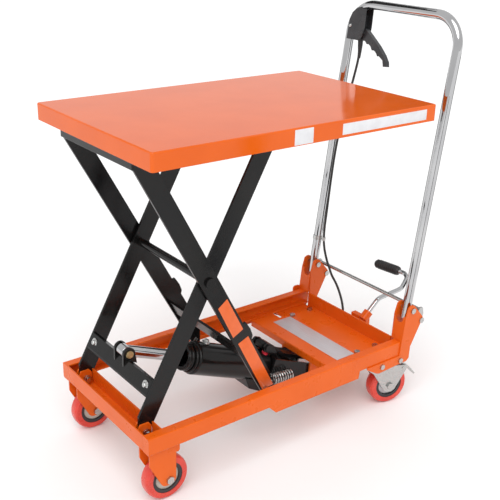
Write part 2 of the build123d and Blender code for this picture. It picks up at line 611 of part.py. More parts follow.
def centre_shaft():
    """Shaft through all four arms at the crossing, with a bolt head at each end."""
    inside = cross_bar(CENTRE, 9.0, -INNER_ARM_Y, INNER_ARM_Y)
    outer_face = OUTER_ARM_Y + ARM_THICK
    shaft = cross_bar(CENTRE, PIN_RADIUS, -outer_face - 1, outer_face + 1)
    for side in (-1, 1):
        low, high = sorted((side * (outer_face + 0.5), side * (outer_face + 5.5)))
        shaft += cross_bar(CENTRE, 10.5, low, high)
        low, high = sorted((side * (INNER_ARM_Y + ARM_THICK), side * (OUTER_ARM_Y - 0.3)))
        shaft += cross_bar(CENTRE, 11, low, high)
    return shaft + inside


def roller_axle(pivot, y_low, y_high):
    """Right stub axle welded in an arm's end."""
    return cross_bar(pivot, PIN_RADIUS, y_low, y_high)


def roller(pivot, radius, y_low, y_high):
    """Right guide roller."""
    wheel = cross_bar(pivot, radius, y_low, y_high)
    wheel = chamfer(wheel.edges().filter_by(GeomType.CIRCLE), 1)
    return wheel - cross_bar(pivot, PIN_RADIUS + RUNNING_FIT, y_low - 1, y_high + 1)


def top_cross_bar():
    """Plate across the front edges of the outer arms, just under the platform."""
    back = TABLE_PIVOT[0] - ARM_END
    sheet = block((back - 4, -OUTER_ARM_Y - ARM_THICK, 701), (back, OUTER_ARM_Y + ARM_THICK, 745))
    return fillet(along_y(sheet, lambda point: True), 1.2)


def low_cross_bar():
    """Flat bar between the outer arms, below their crossing."""
    slope = atan2(HEAD_HEIGHT - FOOT_PIVOT[1], ARM_REACH)
    along = (cos(slope), -sin(slope))
    across = (sin(slope), cos(slope))
    middle = (262.0, 255.0)
    half = 19.0
    corners = []
    for run, rise in ((-half, 0), (half, 0), (half, 6), (-half, 6)):
        corners.append((middle[0] + along[0] * run + across[0] * rise,
                        middle[1] + along[1] * run + across[1] * rise))
    return fillet(along_y(plate(corners, -OUTER_ARM_Y, OUTER_ARM_Y), lambda point: True), 1.2)


# ---- Platform ------------------------------------------------------------------------------
def table_top():
    """Pressed sheet platform with a turned-down lip all round."""
    bottom = TABLE_HEIGHT - TABLE_LIP
    half = TABLE_WIDTH / 2
    pan = block((0, -half, bottom), (TABLE_LENGTH, half, TABLE_HEIGHT))
    pan = fillet(along_z(pan, lambda point: True), 6)
    pan = fillet(pan.edges().group_by(Axis.Z)[-1], 3)
    hollow = block((TABLE_SHEET, -half + TABLE_SHEET, bottom - 1),
                   (TABLE_LENGTH - TABLE_SHEET, half - TABLE_SHEET, TABLE_HEIGHT - TABLE_SHEET))
    hollow = fillet(along_z(hollow, lambda point: True), 6 - TABLE_SHEET)
    hollow = fillet(hollow.edges().group_by(Axis.Z)[-1], 1)
    return pan - hollow


def table_channel():
    """Right guide channel under the platform, open towards the middle."""
    low = TABLE_HEIGHT - TABLE_LIP
    high = TABLE_HEIGHT - TABLE_SHEET
    wall = 3.0
    section = [(145, low), (180, low), (180, high), (145, high), (145, high - wall),
               (180 - wall, high - wall), (180 - wall, low + wall), (145, low + wall)]
    face = make_face(Polyline(*[at(285, y, z) for y, z in section], close=True))
    return extrude(face, amount=410, dir=(1, 0, 0))


def table_hinges():
    """Ears under the platform on both sides of each outer arm's head."""
    top = TABLE_HEIGHT - TABLE_SHEET
    ears = []
    for middle in HINGE_Y:
        low = middle - HINGE_THICK / 2
        ear = plate([(18, top), (15.8, 738), (17, 729), (23, 724.5), (33, 724.5), (60, top)],
                    low, low + HINGE_THICK)
        ear = fillet(along_y(ear, lambda point: point.Z < 735), 2.5)
        ears.append(bored(ear, TABLE_PIVOT, PIN_RADIUS))
    return both_sides(ears)


def table_hinge_pin():
    """Right pin of the platform's hinge."""
    low = HINGE_Y[0] - HINGE_THICK / 2
    high = HINGE_Y[1] + HINGE_THICK / 2
    pin = cross_bar(TABLE_PIVOT, PIN_RADIUS, low, high)
    head = cross_bar(TABLE_PIVOT, 8.5, high, high + 4)
    return pin + head + cross_bar(TABLE_PIVOT, 8.5, low - 2, low)


# ---- Cylinder and pump ---------------------------------------------------------------------
def pump_reservoir():
    """Oil reservoir and barrel: a thick tube, closed at the rear."""
    barrel = cylinder_bar(RESERVOIR_START, RESERVOIR_END, RESERVOIR_RADIUS)
    barrel = fillet(barrel.edges().filter_by(GeomType.CIRCLE), 6)
    return barrel - cylinder_bar(RESERVOIR_START - 1, RESERVOIR_END - 12, RESERVOIR_BORE)


def pump_gland():
    """Front nut of the barrel, with the hole that the piston rod comes out of."""
    nut = cylinder_bar(GLAND_START, RESERVOIR_START, GLAND_RADIUS)
    nut = fillet(nut.edges().filter_by(GeomType.CIRCLE).group_by(Axis.X)[0], 3)
    collar = cylinder_bar(RESERVOIR_START, RESERVOIR_START + 6, RESERVOIR_BORE)
    nut += collar
    return nut - cylinder_bar(GLAND_START - 1, RESERVOIR_START + 7, GLAND_HOLE)


def pump_block():
    """Cast pump block under the reservoir's rear, with the plunger's bore."""
    end = RESERVOIR_END
    outline = [(end - 62, -28), (end + WEB_THICK, -28), (end + WEB_THICK, -8),
               (CYLINDER_LENGTH - 15, -8), (CYLINDER_LENGTH - 15, -44), (end + 60, -50),
               (end + 12, -58), (end - 40, -52)]
    body = cylinder_plate(outline, -28, 28)
    body -= cylinder_bar(RESERVOIR_START, end, RESERVOIR_RADIUS)
    bore = PLUNGER_RADIUS + RUNNING_FIT
    top = on_cylinder(PLUNGER_ALONG, 40)
    bottom = on_cylinder(PLUNGER_ALONG, -41)
    return body - bar(at(top[0], 0, top[1]), at(bottom[0], 0, bottom[1]), bore)


def pump_plunger():
    """Plunger that the pedal's lever pushes down into the block."""
    top = on_cylinder(PLUNGER_ALONG, PLUNGER_TOP)
    bottom = on_cylinder(PLUNGER_ALONG, -10)
    rod = bar(at(bottom[0], 0, bottom[1]), at(top[0], 0, top[1]), PLUNGER_RADIUS)
    return rod


def pump_yoke():
    """Two tapered plates that carry the pump on its hinge, and the pedal's pin."""
    outline = [(392, 34), (CYLINDER_LENGTH + 18, 34), (CYLINDER_LENGTH + 22, 26),
               (CYLINDER_LENGTH + 18, -12), (CYLINDER_LENGTH - 12, -17), (430, -44), (394, -40)]
    side = cylinder_plate(outline, YOKE_Y, YOKE_Y + YOKE_THICK)
    side = fillet(along_y(side, lambda point: point.X > FRONT + 560), 5)
    side = bored(side, PUMP_HINGE, PIN_RADIUS + RUNNING_FIT)
    behind = RESERVOIR_END + WEB_THICK
    web = cylinder_plate([(RESERVOIR_END, -28), (behind, -28), (behind, 30), (RESERVOIR_END, 30)],
                         -YOKE_Y, YOKE_Y)
    lug_outline = [(400, 31), (418, 31), (410, 46), (386, 62), (370, 62), (366, 52), (370, 42),
                   (396, 36)]
    yoke = web
    for extra in both_sides([side]):
        yoke += extra
    for low in (-PEDAL_LUG_Y - 5, PEDAL_LUG_Y):
        lug = cylinder_plate(lug_outline, low, low + 5)
        lug = fillet(along_y(lug, lambda point: point.Z > 165), 3)
        yoke += lug
    yoke += cylinder_plate([(RESERVOIR_END, 26), (418, 26), (418, 31), (RESERVOIR_END, 31)],
                           -YOKE_Y - YOKE_THICK, YOKE_Y + YOKE_THICK)
    yoke -= cylinder_bar(RESERVOIR_START, RESERVOIR_END, RESERVOIR_RADIUS)
    return yoke - cross_bar(PEDAL_PIVOT, 5, -40, 40)


def piston_rod():
    """Piston rod with its eye at the front and the piston inside the barrel."""
    eye = cross_bar(ROD_PIN, ROD_EYE_RADIUS, -12, 12)
    eye = fillet(eye.edges().filter_by(GeomType.CIRCLE), 1.5)
    shaft = cylinder_bar(6, RESERVOIR_START + 12, ROD_RADIUS)
    shaft &= cross_bar(ROD_PIN, RESERVOIR_END, -12, 12)
    piston = cylinder_bar(RESERVOIR_START + 8, RESERVOIR_START + 24, PISTON_RADIUS)
    return eye + shaft + piston - cross_bar(ROD_PIN, ROD_PIN_RADIUS + RUNNING_FIT, -20, 20)


def valve_lever():
    """Small lever that the release cable pulls to open the lowering valve."""
    lever = cylinder_plate([(420, 4), (434, 4), (436, 40), (418, 40)], 21, 25)
    lever = fillet(along_y(lever, lambda point: True), 3)
    hub_centre = on_cylinder(427, 12)
    return lever + cross_bar(hub_centre, 6, 25, 34)


# ---- Pedal ---------------------------------------------------------------------------------
def pedal_lever():
    """Lever from its pin, over the plunger and under the tray, up to the tube's socket."""
    side = PEDAL_LEVER_HALF_WIDTH
    top = [(368, 56), (378, 62), (392, 60), (424, 50), (446, 40), (CYLINDER_LENGTH - 4, 39)]
    bottom = [(CYLINDER_LENGTH - 4, 31), (446, 31), (424, 41), (404, 44.5), (370, 45)]
    spine = cylinder_plate(top + bottom, -side, side)
    spine = fillet(along_y(spine, lambda point: point.Z > 161), 3)
    tail = plate([(548, 98.5), (572, 98.5), (724, 92), (740, 92), (746, 100), (746, 162),
                  (732, 162), (732, 100), (568, 106), (548, 106)], -side, side)
    tail = fillet(along_y(tail, lambda point: point.X > FRONT + 738 and point.Z < 110), 4)
    arm_out = block((732, PEDAL_Y - 10, 144), (746, side, 162))
    root = at(PEDAL_SOCKET[0], PEDAL_Y, PEDAL_SOCKET[1])
    rise = (at(PEDAL_ELBOW[0], PEDAL_Y, PEDAL_ELBOW[1]) - root).normalized()
    joined = spine + tail + arm_out + bar(root - rise * 8, root + rise * 16, 12)
    joined -= bar(root, root + rise * 40, PEDAL_TUBE_RADIUS)
    return joined - cross_bar(PEDAL_PIVOT, 5 + RUNNING_FIT, -40, 40)


def pedal_pin():
    """Pin of the pedal's lever, held in the yoke's two lugs."""
    reach = PEDAL_LUG_Y + 5
    pin = cross_bar(PEDAL_PIVOT, 5, -reach - 1, reach + 1)
    head = cross_bar(PEDAL_PIVOT, 8, -reach - 4, -reach)
    return pin + head + cross_bar(PEDAL_PIVOT, 8, reach, reach + 4)


def pedal_tube():
    """Bent tube from the socket, back and across to the grip."""
    start, end = (at(*GRIP_ENDS[0]), at(*GRIP_ENDS[1]))
    inward = (start - end).normalized()
    points = [at(PEDAL_SOCKET[0], PEDAL_Y, PEDAL_SOCKET[1]),
              at(PEDAL_ELBOW[0], PEDAL_Y, PEDAL_ELBOW[1]),
              at(868, PEDAL_Y + 1, 208), start + inward * 33, end + inward * 2]
    path = FilletPolyline(*points, radius=[30, 45, 30])
    return swept(path, PEDAL_TUBE_RADIUS)


def swept(path, radius):
    """Round bar along a path."""
    start = Plane(origin=path @ 0, z_dir=path % 0)
    return sweep(start * Circle(radius), path=path)


def pedal_grip():
    """Rubber grip on the pedal's tube, with raised rings."""
    start, end = (at(*GRIP_ENDS[0]), at(*GRIP_ENDS[1]))
    length = (end - start).length
    body = turned([(PEDAL_TUBE_RADIUS, 0), (11, 0), (12, 2), (12, length - 5), (8, length),
                   (0, length), (0, length - 1.9), (PEDAL_TUBE_RADIUS, length - 1.9)],
                  start, end - start)
    pitch = (length - 16) / GRIP_RINGS
    for ring in range(GRIP_RINGS):
        centre = start + (end - start).normalized() * (6 + pitch * ring)
        band = turned([(11, 0), (12, 0), (GRIP_RADIUS, 1), (GRIP_RADIUS, pitch * 0.55 - 1),
                       (12, pitch * 0.55), (11, pitch * 0.55)], centre, end - start)
        body += band
    return body


# ---- Handle --------------------------------------------------------------------------------
def on_handle(y, height):
    """Point in the handle's leaning plane."""
    back = (height - HANDLE_PIVOT[1]) * tan(radians(HANDLE_LEAN))
    return at(HANDLE_PIVOT[0] + 0.5 + back, y, height)


def handle_normal():
    """Direction square to the handle's plane, backwards."""
    lean = radians(HANDLE_LEAN)
    return Vector(cos(lean), 0, -sin(lean))


def handle_tube():
    """U-shaped push handle, a bent round tube."""
    points = [on_handle(-HANDLE_Y, HANDLE_BOTTOM), on_handle(-HANDLE_Y, HANDLE_TOP),
              on_handle(HANDLE_Y, HANDLE_TOP), on_handle(HANDLE_Y, HANDLE_BOTTOM)]
    path = FilletPolyline(*points, radius=HANDLE_BEND)
    tube = swept(path, HANDLE_RADIUS) - swept(path, HANDLE_BORE)
    return tube - cross_bar(HANDLE_PIVOT, 4, -200, 200)


def handle_bolts():
    """The handle's two pivot bolts, fixed in its legs."""
    low = -FRAME_HALF_WIDTH - BRACKET_THICK
    bolt = cross_bar(HANDLE_PIVOT, 4 - RUNNING_FIT, low - 0.3, -BRACKET_INNER_Y + 0.3)
    bolt += cross_bar(HANDLE_PIVOT, 7, low - 3.5, low - 0.3)
    bolt += cross_bar(HANDLE_PIVOT, 7, -BRACKET_INNER_Y + 0.3, -BRACKET_INNER_Y + 4)
    return both_sides([bolt])


def handle_plate(outline, front, back):
    """Plate parallel to the handle's plane: (y, height) outline, front to back of that plane."""
    points = [on_handle(y, height) + handle_normal() * front for y, height in outline]
    face = make_face(Polyline(*points, close=True))
    return extrude(face, amount=back - front, dir=handle_normal())


def lever_bracket():
    """Sheet cover in the handle's corner that holds the release lever's pin and the cable."""
    outline = [(166, 832.5), (125.7, 832.5), (131, 911), (146, 907), (159, 895), (166, 878)]
    inside = HANDLE_RADIUS + BRACKET_CLEARANCE
    outside = inside + BRACKET_SHEET
    front = handle_plate(outline, -outside, -inside)
    back = handle_plate(outline, inside, outside)
    edge_outline = [(125.7, 832.5), (128, 832.5), (132, 893), (129.7, 893)]
    floor_outline = [(125.7, 832.5), (157.5, 832.5), (157.5, 835), (125.7, 835)]
    edge = handle_plate(edge_outline, -inside, inside)
    floor = handle_plate(floor_outline, -inside, inside)
    web = [(125.7, 832.5), (112.5, 846), (111.5, 866), (114, 908), (131, 908), (128, 850)]
    front += handle_plate(web, -outside, -inside)
    back += handle_plate(web, inside, outside)
    pivot = on_handle(*LEVER_PIVOT)
    hole = bar(pivot - handle_normal() * 20, pivot + handle_normal() * 20, 3)
    return front + back + edge + floor - hole


def hand_lever():
    """Squeeze lever that releases the table, curved down from its pin, with finger grooves."""
    back = [(123, 856), (118, 862), (111.9, 861.7), (91.4, 847.8), (63, 828.1), (41.9, 810),
            (29.4, 795.5), (26, 784)]
    belly = [(36, 783), (41, 797), (56.3, 806), (60, 804), (66, 811), (77.1, 818), (81, 815),
             (88, 824), (97, 829), (101, 827), (109, 834), (120, 836), (124, 846)]
    blade = handle_plate(back + belly, -6, 6)
    normal = handle_normal()
    pivot = on_handle(*LEVER_PIVOT)
    outside = HANDLE_RADIUS + 0.5 + BRACKET_SHEET
    blade += bar(pivot - normal * outside, pivot + normal * outside, 3 - RUNNING_FIT)
    for side in (-1, 1):
        blade += bar(pivot + normal * side * outside, pivot + normal * side * (outside + 2), 5)
    return blade


def cable(route):
    """Release cable along a route, each corner as wide as its runs allow."""
    points = [at(*point) for point in route]
    radii = []
    for before, point, after in zip(points, points[1:], points[2:]):
        turn = (point - before).get_angle(after - point)
        shorter = min((point - before).length, (after - point).length)
        radii.append(CORNER_SHARE * shorter / tan(radians(turn) / 2))
    return swept(FilletPolyline(*points, radius=radii), CABLE_RADIUS)


# ---- Handle lock ---------------------------------------------------------------------------
def handle_lock():
    """Lock rod behind the handle's legs and the two latch plates it is fixed in."""
    rod = cross_bar(LOCK_ROD, LOCK_ROD_RADIUS, -185, 185)
    outline = [(758, 206), (774, 206), (778, 226), (774, 243), (764, 244), (757, 232)]
    latch = fillet(along_y(plate(outline, 181.5, 185), lambda point: True), 4)
    latch -= cross_bar(LATCH_PIVOT, 4 + RUNNING_FIT, 150, 200)
    return rod + latch + other_side(latch)


# ---- Writing the nodes ---------------------------------------------------------------------
def save_pair(name, left, *more):
    """Write a left node and its mirror image on the right."""
    save(f"{name}_left", left, *more)
    save(f"{name}_right", other_side(left), *[other_side(solid) for solid in more])


def save_base():
    """Nodes of the wheeled base."""
    save_pair("base_rail", base_rail())
    save("front_cross_channel", front_cross_channel())
    save("arm_pivot_ears", *arm_pivot_ears())
    save("hinge_pins", *hinge_pins())
    save("pump_tray", pump_tray())
    bracket = handle_bracket()
    save("handle_bracket_left", bracket)
    save("handle_bracket_right", other_side(bracket) + bracket_tab())
    save_pair("front_fork", front_fork())
    save("frame_bolts", *frame_bolts())
    save("caster_top_plates", *both_sides([caster_top_plate()]))


def save_wheels():
    """Nodes of the front wheels and the rear casters."""
    front = at(FRONT_AXLE[0], -FRONT_WHEEL_Y, FRONT_AXLE[1])
    save_pair("front_tyre", tyre(front, FRONT_WHEEL_WIDTH, (0, 1, 0)))
    save_pair("front_hub", hub(front, FRONT_WHEEL_WIDTH, (0, 1, 0)))
    save_pair("rear_tyre", tyre(CASTER.centre, REAR_WHEEL_WIDTH, CASTER.side))
    save_pair("rear_hub", hub(CASTER.centre, REAR_WHEEL_WIDTH, CASTER.side))
    save_pair("caster_fork", *caster_fork())
    save_pair("caster_brake", brake_pedal())


def save_scissor():
    """Nodes of the crossed arms and their rollers."""
    right_inner = inner_arm()
    right_outer = outer_arm()
    save("inner_arm_right", right_inner)
    save("inner_arm_left", other_side(right_inner))
    save("outer_arm_right", right_outer)
    save("outer_arm_left", other_side(right_outer))
    save("inner_cross_member", inner_cross_member())
    save("cylinder_pin", clevis_pin())
    save("centre_shaft", centre_shaft())
    save("top_cross_bar", top_cross_bar())
    save("low_cross_bar", low_cross_bar())
    save("table_roller_axles", *both_sides([roller_axle(ROLLER_HEAD, INNER_ARM_Y, 172)]))
    save("base_roller_axles", *both_sides([roller_axle(ROLLER_FOOT, OUTER_ARM_Y, 181)]))
    table_roller = roller(ROLLER_HEAD, TABLE_ROLLER_RADIUS, 150, 171)
    base_roller = roller(ROLLER_FOOT, BASE_ROLLER_RADIUS, 163, 180)
    for name, wheel in (("table_roller", table_roller), ("base_roller", base_roller)):
        save(f"{name}_right", wheel)
        save(f"{name}_left", other_side(wheel))


def save_platform():
    """Nodes of the platform."""
    save("table_top", table_top())
    save("table_channels", *both_sides([table_channel()]))
    save("table_hinges", *table_hinges())
    save("table_hinge_pins", *both_sides([table_hinge_pin()]))


def save_pump():
    """Nodes of the cylinder, the pump and its pedal."""
    save("pump_reservoir", pump_reservoir())
    save("pump_gland", pump_gland())
    save("pump_block", pump_block())
    save("pump_yoke", pump_yoke(), pedal_pin())
    save("piston_rod", piston_rod())
    save("pump_plunger", pump_plunger())
    save("valve_lever", valve_lever())
    save("pedal_lever", pedal_lever())
    save("pedal_tube", pedal_tube())
    save("pedal_grip", pedal_grip())


def save_handle():
    """Nodes of the handle, its release lever and cable, and its lock."""
    save("handle_tube", handle_tube())
    save("handle_bolts", *handle_bolts())
    save("lever_bracket", lever_bracket())
    save("hand_lever", hand_lever())
    save("release_cable_upper", cable(CABLE_UPPER))
    save("release_cable_lower", cable(CABLE_LOWER))
    save("handle_lock", handle_lock())


save_base()
save_wheels()
save_scissor()
save_platform()
save_pump()
save_handle()
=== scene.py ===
"""Looks, light and camera for a hand-pushed scissor lift table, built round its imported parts."""

import json
import math

import bmesh
import bpy
from mathutils import Matrix, Vector


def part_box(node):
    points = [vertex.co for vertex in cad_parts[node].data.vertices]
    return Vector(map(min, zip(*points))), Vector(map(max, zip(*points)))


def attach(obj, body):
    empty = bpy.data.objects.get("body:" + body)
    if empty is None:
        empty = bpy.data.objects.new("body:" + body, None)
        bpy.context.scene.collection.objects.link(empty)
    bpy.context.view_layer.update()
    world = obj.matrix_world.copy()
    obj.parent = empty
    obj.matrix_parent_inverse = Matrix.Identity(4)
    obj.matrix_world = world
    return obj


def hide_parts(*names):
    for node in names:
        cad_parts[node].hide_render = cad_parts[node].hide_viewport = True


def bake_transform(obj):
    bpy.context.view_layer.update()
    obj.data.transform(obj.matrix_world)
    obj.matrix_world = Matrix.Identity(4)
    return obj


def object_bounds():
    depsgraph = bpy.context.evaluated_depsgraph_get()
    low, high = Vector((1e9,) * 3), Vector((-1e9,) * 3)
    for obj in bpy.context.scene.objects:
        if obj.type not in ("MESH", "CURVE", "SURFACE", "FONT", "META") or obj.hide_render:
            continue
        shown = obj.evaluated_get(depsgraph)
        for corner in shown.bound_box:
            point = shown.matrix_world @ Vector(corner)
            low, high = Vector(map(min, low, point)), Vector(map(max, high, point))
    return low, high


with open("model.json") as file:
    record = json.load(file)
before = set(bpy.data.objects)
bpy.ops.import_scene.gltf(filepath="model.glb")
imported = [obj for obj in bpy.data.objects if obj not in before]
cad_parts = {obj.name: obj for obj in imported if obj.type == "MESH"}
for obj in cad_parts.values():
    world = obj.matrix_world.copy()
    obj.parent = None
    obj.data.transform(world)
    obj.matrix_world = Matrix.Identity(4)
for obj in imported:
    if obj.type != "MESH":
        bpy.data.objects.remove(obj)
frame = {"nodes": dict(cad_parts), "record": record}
cad_low, cad_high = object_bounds()

MM = 0.001
FRONT = cad_low.x  # the platform's front edge

# ---- Camera and studio -----------------------------------------------------------------------
CAMERA_PLACE = (-1.16365, -1.4018, 1.1410)
CAMERA_AZIMUTH = -37.732  # degrees, 0 looks along +Y
CAMERA_ELEVATION = 22.170
CAMERA_ROLL = 1.3674
CAMERA_LENS = 61.47  # millimetres, on a 36 mm sensor
FLOOR_RADIUS = 40.0
SKY_STRENGTH = 0.80
KEY_STRENGTH = 1.6
KEY_PLACE = (-1.4, -1.6, 3.0)
KEY_SPREAD = 50.0  # degrees
# Dark cards round the handle: bearing from +Y towards +X and width in degrees, then the distance
# from the handle and the lowest and highest edge in metres.
FLAGS = (
    (105.7, 26, 0.75, 0.0, 0.72),
    (7.7, 30, 0.75, 0.0, 0.72),
    (193.7, 7, 0.75, 0.0, 0.72),
    (57.7, 16, 0.75, 0.0, 0.72),
    (-1.0, 68, 2.0, 1.75, 2.9),
    (61.0, 37, 1.87, 0.95, 1.5),
)

# ---- Fittings that only the looks need, in millimetres -----------------------------------------
STICKER_THICK = 0.3
ARM_OUTER_FACE = 140.0
UPPER_STRIPE = ((198.3, 380.1), (220.4, 396.4), (262.7, 315.7), (237.1, 302.4))
LOWER_STRIPE = ((250.4, 284.1), (276.4, 295.1), (349.6, 153.1), (318.7, 151.1))
CASTER_YAW = 14.0
WHEEL_HALF_WIDTHS = {"front": 14.0, "rear": 15.0}
PEDAL_WELD = 548  # where the pedal lever's black spine meets its orange tail
HANDLE_LEAN = 7.6  # degrees from upright
SHARP_EDGE = 32  # degrees between faces from which an edge stays sharp
CABLE_RADIUS = 3.0
CABLE_ROUTE = (
    (812, 131, 831.5), (808, 126, 800), (802, 131.5, 752), (794.5, 139.5, 700),
    (786.5, 146.5, 648), (778, 151, 598), (770.5, 152.5, 547), (764.5, 152.8, 495),
    (758, 151.5, 443), (751.5, 149.5, 392), (746, 149.5, 342), (744, 145.5, 300),
    (744.5, 132, 264), (745, 120.8, 246.3), (744, 109, 228), (740, 85, 214),
    (733, 62, 197), (727, 42, 173), (725, 35, 145), (716, 33, 120), (690, 31, 113),
    (648, 29.5, 114), (604, 31, 110), (560, 32.5, 110.5), (521, 31, 109.5),
    (492, 30, 122), (472.5, 29.5, 134),
)
ROD_PIN = (58.0, 266.5)
CYLINDER_SLOPE = 22.9


def at(distance, side, height):
    """A point from the platform's front edge, the centre plane and the floor, in millimetres."""
    return Vector((FRONT + distance * MM, side * MM, height * MM))


def on_cylinder(along, side, above):
    """A point beside the pump cylinder's axis, in millimetres from the rod's pin."""
    slope = math.radians(CYLINDER_SLOPE)
    distance = ROD_PIN[0] + along * math.cos(slope) + above * math.sin(slope)
    height = ROD_PIN[1] - along * math.sin(slope) + above * math.cos(slope)
    return at(distance, side, height)


# ---- Materials ---------------------------------------------------------------------------------
def node(tree, kind, **inputs):
    """A shader node with the given inputs, each by its socket's name with _ for a space."""
    made = tree.nodes.new(kind)
    for name, value in inputs.items():
        made.inputs[name.replace("_", " ")].default_value = value
    return made


def noise(tree, scale, detail=3.0, roughness=0.5):
    """Noise fixed to the piece."""
    place = tree.nodes.new("ShaderNodeTexCoord")
    made = node(tree, "ShaderNodeTexNoise", Scale=scale, Detail=detail, Roughness=roughness)
    tree.links.new(place.outputs["Object"], made.inputs["Vector"])
    return made.outputs["Fac"]


def cells(tree, scale):
    """Flat crystals, each with its own value."""
    place = tree.nodes.new("ShaderNodeTexCoord")
    made = node(tree, "ShaderNodeTexVoronoi", Scale=scale)
    tree.links.new(place.outputs["Object"], made.inputs["Vector"])
    return made.outputs["Color"]


def between(tree, driver, low, high, start=0.35, end=0.65):
    """A number from low to high as the driver goes from start to end."""
    made = tree.nodes.new("ShaderNodeMapRange")
    made.inputs["From Min"].default_value = start
    made.inputs["From Max"].default_value = end
    made.inputs["To Min"].default_value = low
    made.inputs["To Max"].default_value = high
    tree.links.new(driver, made.inputs["Value"])
    return made.outputs["Result"]


def ramp(tree, driver, stops):
    """A colour from a list of (place, colour)."""
    made = tree.nodes.new("ShaderNodeValToRGB")
    elements = made.color_ramp.elements
    while len(elements) < len(stops):
        elements.new(0.5)
    for element, (place, colour) in zip(elements, stops):
        element.position = place
        element.color = (*colour, 1.0)
    tree.links.new(driver, made.inputs["Fac"])
    return made.outputs["Color"]


def soft_edges(tree, radius):
    """A normal that rounds the edges by this radius."""
    return node(tree, "ShaderNodeBevel", Radius=radius).outputs["Normal"]


def bumped(tree, height, distance, normal=None):
    """A normal with the height's relief, distance metres deep."""
    made = node(tree, "ShaderNodeBump", Strength=1.0, Distance=distance)
    tree.links.new(height, made.inputs["Height"])
    if normal is not None:
        tree.links.new(normal, made.inputs["Normal"])
    return made.outputs["Normal"]


def blank_material(name, **uniform):
    """A material with its shader's uniform values set, and the tree and shader to go on with."""
    material = bpy.data.materials.new(name)
    material.use_nodes = True
    shader = material.node_tree.nodes["Principled BSDF"]
    for socket, value in uniform.items():
        shader.inputs[socket.replace("_", " ")].default_value = value
    return material, material.node_tree, shader


def mottled(tree, shader, colours, roughness, scale):
    """Slow changes of colour and gloss over the surface."""
    slow = noise(tree, scale)
    colour = ramp(tree, slow, ((0.35, colours[0]), (0.65, colours[1])))
    tree.links.new(colour, shader.inputs["Base Color"])
    tree.links.new(between(tree, noise(tree, scale * 3), *roughness), shader.inputs["Roughness"])


def paint(name, colours, roughness, gloss, peel, edge):
    """Sprayed and baked paint with slight orange peel, soft at the edges."""
    material, tree, shader = blank_material(name, Specular_IOR_Level=gloss)
    mottled(tree, shader, colours, roughness, 9.0)
    relief = bumped(tree, noise(tree, 330.0), peel, soft_edges(tree, edge))
    tree.links.new(relief, shader.inputs["Normal"])
    return material


def two_tone_paint(name, front_colour, back_colour, border):
    """Paint that changes colour at a place along the table, where two painted parts are welded."""
    material, tree, shader = blank_material(name, Specular_IOR_Level=0.3)
    place = tree.nodes.new("ShaderNodeTexCoord")
    parts = tree.nodes.new("ShaderNodeSeparateXYZ")
    tree.links.new(place.outputs["Object"], parts.inputs["Vector"])
    share = between(tree, parts.outputs["X"], 0.0, 1.0, border - MM, border + MM)
    colour = ramp(tree, share, ((0.49, front_colour), (0.51, back_colour)))
    tree.links.new(colour, shader.inputs["Base Color"])
    tree.links.new(between(tree, noise(tree, 27.0), 0.25, 0.36), shader.inputs["Roughness"])
    relief = bumped(tree, noise(tree, 330.0), 0.00008, soft_edges(tree, 0.001))
    tree.links.new(relief, shader.inputs["Normal"])
    return material


def plated(name, colours, roughness, spangle, edge=0.0004):
    """Plated steel: small crystals that differ in tone and gloss."""
    material, tree, shader = blank_material(name, Metallic=1.0)
    crystals = cells(tree, spangle)
    colour = ramp(tree, crystals, ((0.2, colours[0]), (0.8, colours[1])))
    tree.links.new(colour, shader.inputs["Base Color"])
    tree.links.new(between(tree, noise(tree, 60.0), *roughness), shader.inputs["Roughness"])
    relief = bumped(tree, noise(tree, 700.0), 0.00004, soft_edges(tree, edge))
    tree.links.new(relief, shader.inputs["Normal"])
    return material


def chrome():
    """Mirror plating over a drawn tube, with faint waves and haze."""
    material, tree, shader = blank_material("chrome_plate", Metallic=1.0)
    mottled(tree, shader, ((0.50, 0.50, 0.51), (0.56, 0.56, 0.565)), (0.035, 0.08), 14.0)
    relief = bumped(tree, noise(tree, 40.0, 1.0), 0.00003)
    tree.links.new(relief, shader.inputs["Normal"])
    return material


def turned_steel():
    """Bare steel with fine tool marks."""
    material, tree, shader = blank_material("turned_steel", Metallic=1.0)
    mottled(tree, shader, ((0.42, 0.41, 0.40), (0.56, 0.55, 0.53)), (0.25, 0.4), 50.0)
    relief = bumped(tree, noise(tree, 1500.0), 0.00003, soft_edges(tree, 0.0004))
    tree.links.new(relief, shader.inputs["Normal"])
    return material


def moulded(name, colours, roughness, grain, depth, **uniform):
    """Moulded plastic or rubber with a fine grain."""
    material, tree, shader = blank_material(name, **uniform)
    mottled(tree, shader, colours, roughness, 30.0)
    relief = bumped(tree, noise(tree, grain), depth, soft_edges(tree, 0.0006))
    tree.links.new(relief, shader.inputs["Normal"])
    return material


def brushed_plate():
    """A label plate brushed along its length."""
    material, tree, shader = blank_material("brushed_label", Metallic=0.2)
    place = tree.nodes.new("ShaderNodeTexCoord")
    stretch = tree.nodes.new("ShaderNodeMapping")
    stretch.inputs["Scale"].default_value = (1800.0, 30.0, 1.0)
    lines = node(tree, "ShaderNodeTexNoise", Scale=1.0, Detail=2.0)
    tree.links.new(place.outputs["Object"], stretch.inputs["Vector"])
    tree.links.new(stretch.outputs["Vector"], lines.inputs["Vector"])
    grey = ramp(tree, lines.outputs["Fac"], ((0.3, (0.52, 0.52, 0.54)), (0.7, (0.64, 0.64, 0.67))))
    tree.links.new(grey, shader.inputs["Base Color"])
    tree.links.new(between(tree, lines.outputs["Fac"], 0.28, 0.42), shader.inputs["Roughness"])
    return material


def printed_film(name, colours):
    """A blank printed sticker."""
    material, tree, shader = blank_material(name, Coat_Weight=0.4, Coat_Roughness=0.15)
    mottled(tree, shader, colours, (0.3, 0.42), 60.0)
    tree.links.new(bumped(tree, noise(tree, 500.0), 0.00002), shader.inputs["Normal"])
    return material


